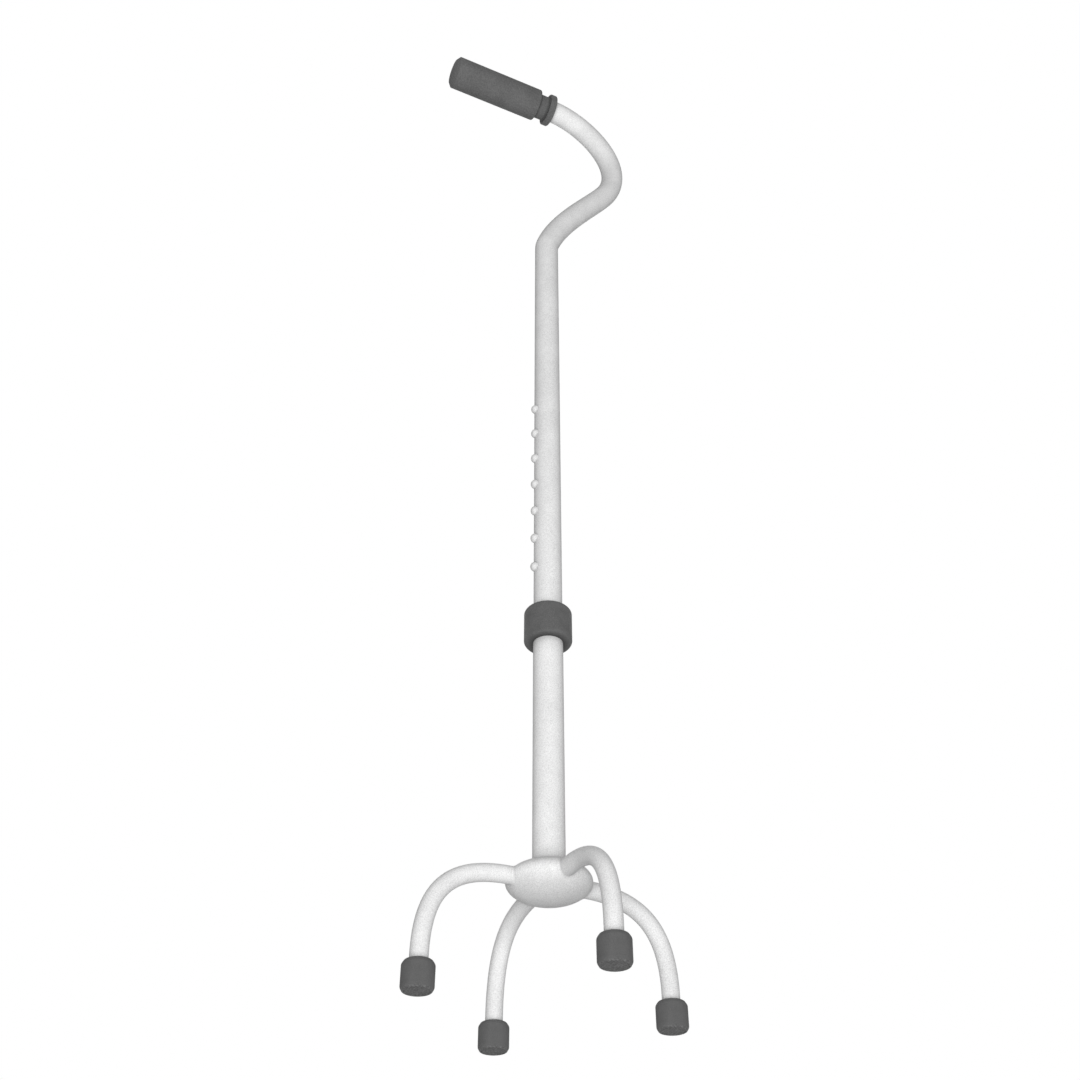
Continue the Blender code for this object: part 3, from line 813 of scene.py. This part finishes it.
def neck_path():
    """Centreline of the handle tube, from inside the collar to inside the grip."""
    lean = Vector((math.sin(KINK_ANGLE), math.cos(KINK_ANGLE)))
    reach = KINK_BEND_RADIUS * math.tan(KINK_ANGLE / 2)
    path = straight(handle_low.z, KINK_Z - reach, HANDLE_STEPS, CAP_HEIGHTS)
    pivot = Vector((KINK_BEND_RADIUS, KINK_Z - reach))
    for step in range(1, KINK_STEPS + 1):
        turn = KINK_ANGLE * step / KINK_STEPS
        path.append(pivot + KINK_BEND_RADIUS * Vector((-math.cos(turn), math.sin(turn))))
    start = Vector((0, KINK_Z)) + lean * reach
    middle = Vector(NECK_MIDDLE)
    end = Vector((GRIP_START_X, GRIP_Z))
    way = Vector((math.sin(NECK_MIDDLE_ANGLE), math.cos(NECK_MIDDLE_ANGLE)))
    before, after = NECK_MIDDLE_HANDLES
    lower_steps, upper_steps = NECK_STEPS
    low_handle = start + lean * NECK_LOWER_HANDLE
    top_handle = end + Vector((NECK_TOP_HANDLE, 0))
    path += bezier(start, low_handle, middle - way * before, middle, lower_steps)
    path += bezier(middle, middle + way * after, top_handle, end, upper_steps)
    path.append(Vector((handle_low.x, GRIP_Z)))
    return path


def make_handle_tube():
    tube = pipe(
        "swan_neck_tube", neck_path(), TUBE_OUTER, TUBE_INNER, TUBE_SIDES, PAINT, CAP_HEIGHTS
    )
    placed(tube, "handle_section", "pale_paint", "upper_tube")


def make_grip():
    """Rubber sleeve with a ring and a groove at its neck end."""
    groove_start = GRIP_RING_WIDTH
    body_start = GRIP_RING_WIDTH + GRIP_GROOVE_WIDTH
    end_in, end_back = GRIP_END_BEVEL
    profile = [
        (0, GRIP_BORE_DEPTH),
        (TUBE_OUTER, GRIP_BORE_DEPTH),
        (TUBE_OUTER, 0),
        (GRIP_RADIUS - GRIP_EDGE, 0),
        (GRIP_RADIUS, GRIP_EDGE),
        (GRIP_RADIUS, groove_start - GRIP_EDGE),
        (GRIP_RADIUS - GRIP_EDGE, groove_start),
        (GRIP_GROOVE_RADIUS, groove_start),
        (GRIP_GROOVE_RADIUS, body_start),
        (GRIP_RADIUS - GRIP_EDGE, body_start),
        (GRIP_RADIUS, body_start + GRIP_EDGE),
        (GRIP_RADIUS, GRIP_LENGTH - end_back),
        (GRIP_RADIUS - end_in, GRIP_LENGTH),
        (0, GRIP_LENGTH),
    ]
    grip = lathe("rubber_grip", rounded(profile, GRIP_ROUNDING), ROUND_SIDES, RUBBER)
    grip.location = (GRIP_START_X, 0, GRIP_Z)
    grip.rotation_euler.y = -math.pi / 2
    placed(grip, "handle_section", "dark_rubber", "handle_grip")


def dome_profile():
    """A hollow dome, from the top of its cavity down, out and up to its own top."""
    profile = []
    for step in range(CAP_STEPS + 1):
        turn = math.pi / 2 * (1 - step / CAP_STEPS)
        radius = CAP_CAVITY * math.cos(turn) if step else 0
        profile.append((radius, CAP_CAVITY * math.sin(turn)))
    profile += [(CAP_CAVITY, -CAP_ROOT), (CAP_RADIUS, -CAP_ROOT)]
    for step in range(CAP_STEPS + 1):
        turn = math.pi / 2 * step / CAP_STEPS
        radius = 0 if step == CAP_STEPS else CAP_RADIUS * math.cos(turn)
        profile.append((radius, CAP_RADIUS * math.sin(turn) - CAP_SINK))
    return profile


def make_domes():
    """Soft domes up the rear of the handle tube. The top one has a mesh of its own."""
    for index, height in enumerate(CAP_HEIGHTS):
        dome = lathe(f"soft_dome_{index + 1}", dome_profile(), CAP_SIDES, CAP_PAINT)
        dome.location = (-TUBE_OUTER, 0, height)
        dome.rotation_euler.y = -math.pi / 2
        placed(dome, "handle_section", "pale_cap", f"button_cap_{index + 1}")
        if index == 0:
            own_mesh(dome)


def spring_path(low, high):
    """Centreline of the hairpin, down its button side, round the bend and up its wall side."""
    button_side = low.x + SPRING_THICKNESS / 2
    wall_side = high.x - SPRING_THICKNESS / 2
    middle = high.z - SPRING_ARM
    bend = middle - SPRING_DEPTH
    foot = Vector((button_side, middle - SPRING_ARM))
    path = [Vector((button_side, high.z)), foot]
    path += bezier(
        foot,
        Vector((button_side, bend - SPRING_ARM)),
        Vector((wall_side, bend - 2 * SPRING_ARM)),
        Vector((wall_side, middle - SPRING_DEPTH / 2)),
        SPRING_STEPS,
    )
    path.append(Vector((wall_side, high.z)))
    return path


def make_spring():
    """Hairpin of spring strip behind the snap button, with a mesh of its own."""
    low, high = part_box("button_spring")
    path = spring_path(low, high)
    bm = bmesh.new()
    rings = []
    for index, centre in enumerate(path):
        along = path[min(index + 1, len(path) - 1)] - path[max(index - 1, 0)]
        along.normalize()
        off = Vector((-along.y, along.x)) * SPRING_THICKNESS / 2
        ring = []
        for sign, depth in ((1, high.y), (1, low.y), (-1, low.y), (-1, high.y)):
            spot = centre + off * sign
            ring.append(bm.verts.new((spot.x, depth, spot.y)))
        rings.append(ring)
    for here, there in zip(rings, rings[1:]):
        bridge(bm, here, there)
    bm.faces.new(rings[0])
    bm.faces.new(rings[-1])
    spring = finished("hairpin_spring", bm, STEEL)
    placed(spring, "base", "bright_steel", "button_spring")
    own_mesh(spring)


def make_collar():
    """Locking ring with rounded rims."""
    bevel_in, bevel_up = COLLAR_BEVEL
    outside = [
        (COLLAR_BORE, COLLAR_BOTTOM),
        (COLLAR_RADIUS - bevel_in, COLLAR_BOTTOM),
        (COLLAR_RADIUS, COLLAR_BOTTOM + bevel_up),
        (COLLAR_RADIUS, COLLAR_TOP - bevel_up),
        (COLLAR_RADIUS - bevel_in, COLLAR_TOP),
        (COLLAR_NECK, COLLAR_TOP),
    ]
    inside = [
        (COLLAR_NECK, COLLAR_LIP_Z),
        (COLLET_POCKET_RADIUS, COLLAR_LIP_Z),
        (COLLET_POCKET_RADIUS, COLLAR_SEAT_Z),
        (COLLAR_BORE, COLLAR_SEAT_Z),
    ]
    profile = rounded(outside, COLLAR_ROUNDING) + inside
    collar = lathe("locking_collar", profile, ROUND_SIDES, PLASTIC, closed=True)
    placed(collar, "collar", "dark_plastic", "lock_collar")


def finish_hidden_parts():
    """Better materials on the CAD pieces that stay, inside the tubes, the collar and the feet."""
    finishes = {
        "inner_tube_plug": NYLON,
        "tube_end_plug": NYLON,
        "guide_collet": NYLON,
        "snap_button": STEEL,
    }
    finishes.update({f"foot_washer_{name}": STEEL for name in LEG_NAMES})
    for node, finish in finishes.items():
        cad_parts[node].material_slots[0].material = finish


def make_camera():
    camera = new_object("camera", bpy.data.cameras.new("camera"))
    camera.location = (
        -CAMERA_DISTANCE * math.cos(CAMERA_BEARING),
        -CAMERA_DISTANCE * math.sin(CAMERA_BEARING),
        CAMERA_HEIGHT,
    )
    look = CAMERA_BEARING + CAMERA_TURN
    level = Euler((math.pi / 2 + CAMERA_PITCH, 0, look - math.pi / 2)).to_matrix()
    camera.rotation_euler = (level @ Matrix.Rotation(CAMERA_ROLL, 3, "Z")).to_euler()
    camera.data.lens_unit = "FOV"
    camera.data.angle = FIELD_OF_VIEW
    camera.data.clip_start = CAMERA_CLIP
    bpy.context.scene.camera = camera


def floor_material():
    """Pale where the camera looks at it from above, and clear for all other rays."""
    material = bpy.data.materials.new("floor")
    nodes = Nodes(material)
    surface = nodes.emptied("ShaderNodeOutputMaterial")
    pale = nodes.add("ShaderNodeBsdfDiffuse")
    pale.inputs["Color"].default_value = (*grey(FLOOR_GREY), 1)
    glow = nodes.add("ShaderNodeEmission")
    glow.inputs["Strength"].default_value = FLOOR_GLOW
    lit = nodes.add("ShaderNodeAddShader")
    nodes.join(pale.outputs["BSDF"], lit.inputs[0])
    nodes.join(glow.outputs["Emission"], lit.inputs[1])
    clear = nodes.add("ShaderNodeBsdfTransparent")

    camera_ray = nodes.add("ShaderNodeLightPath").outputs["Is Camera Ray"]
    below = nodes.add("ShaderNodeNewGeometry").outputs["Backfacing"]
    above = nodes.combined(camera_ray, below, "SUBTRACT")
    seen = nodes.combined(above, camera_ray, "MULTIPLY", use_clamp=True)
    reach = nodes.length(nodes.object_place())
    fade = nodes.spread(reach, FLOOR_FADE, (1, 0), interpolation_type="SMOOTHSTEP")
    shown = nodes.combined(seen, fade, "MULTIPLY")
    nodes.join(nodes.either(shown, clear.outputs["BSDF"], lit.outputs["Shader"]), surface)
    return material


def make_floor():
    """A pale floor that only the camera sees, from above, and that fades out far away."""
    bm = bmesh.new()
    bmesh.ops.create_grid(bm, x_segments=FLOOR_CELLS, y_segments=FLOOR_CELLS, size=FLOOR_SIZE / 2)
    mesh = bpy.data.meshes.new("floor")
    bm.to_mesh(mesh)
    bm.free()
    mesh.materials.append(floor_material())
    floor = new_object("floor", mesh)
    floor.location.z = -FLOOR_DROP


def make_world():
    """White where the camera or a reflection looks, and even soft light for the rest."""
    world = bpy.data.worlds.new("studio")
    bpy.context.scene.world = world
    nodes = Nodes(world)
    surface = nodes.emptied("ShaderNodeOutputWorld")
    rays = nodes.add("ShaderNodeLightPath").outputs
    shown = nodes.combined(rays["Is Camera Ray"], rays["Is Glossy Ray"], "MAXIMUM")
    shown = nodes.combined(shown, rays["Is Transmission Ray"], "MAXIMUM")
    backgrounds = []
    for strength in (WORLD_LIGHT, WHITE):
        background = nodes.add("ShaderNodeBackground")
        background.inputs["Color"].default_value = (1, 1, 1, 1)
        background.inputs["Strength"].default_value = strength
        backgrounds.append(background.outputs["Background"])
    nodes.join(nodes.either(shown, *backgrounds), surface)


def hang_light(light, bearing, elevation, distance):
    """Put a light round the cane, pointed at the cane's middle."""
    lamp = new_object(light.name, light)
    turn, rise = math.radians(bearing), math.radians(elevation)
    level = math.cos(rise)
    way = Vector((math.cos(turn) * level, math.sin(turn) * level, math.sin(rise)))
    lamp.location = Vector((0, 0, LAMP_AIM_Z)) + way * distance
    lamp.rotation_euler = (-way).to_track_quat("-Z", "Y").to_euler()
    return lamp


def area_light(name, shape, size, power):
    light = bpy.data.lights.new(name, "AREA")
    light.shape = shape
    light.size = size
    light.energy = power
    return light


def make_lens_lamps():
    """Soft disks just behind the camera, pointed where it looks."""
    camera = bpy.context.scene.camera
    back = camera.rotation_euler.to_matrix() @ Vector((0, 0, LENS_LAMP_GAP))
    for name, falloff, diameter, power in LENS_LAMPS:
        light = area_light(name, "DISK", diameter, power)
        nodes = Nodes(light)
        fade = nodes.add("ShaderNodeLightFalloff")
        fade.inputs["Strength"].default_value = 1.0
        nodes.join(fade.outputs[falloff], nodes.tree.nodes["Emission"].inputs["Strength"])
        lamp = new_object(name, light)
        lamp.location = camera.location + back
        lamp.rotation_euler = camera.rotation_euler
        lamp.visible_glossy = False


def make_lights():
    make_lens_lamps()
    for name, bearing, elevation, strength in SUNS:
        light = bpy.data.lights.new(name, "SUN")
        light.angle = SUN_ANGLE
        light.energy = strength
        hang_light(light, bearing, elevation, SUN_DISTANCE)
    rear = area_light("rear", "SQUARE", REAR_LAMP_SIZE, REAR_LAMP_POWER)
    hang_light(rear, *REAR_LAMP_PLACE).visible_glossy = False


make_hub()
make_legs()
make_feet()
make_lower_shaft()
make_handle_tube()
make_grip()
make_domes()
make_spring()
make_collar()
finish_hidden_parts()
make_camera()
make_floor()
make_world()
make_lights()
bpy.context.scene.view_settings.view_transform = "Standard"
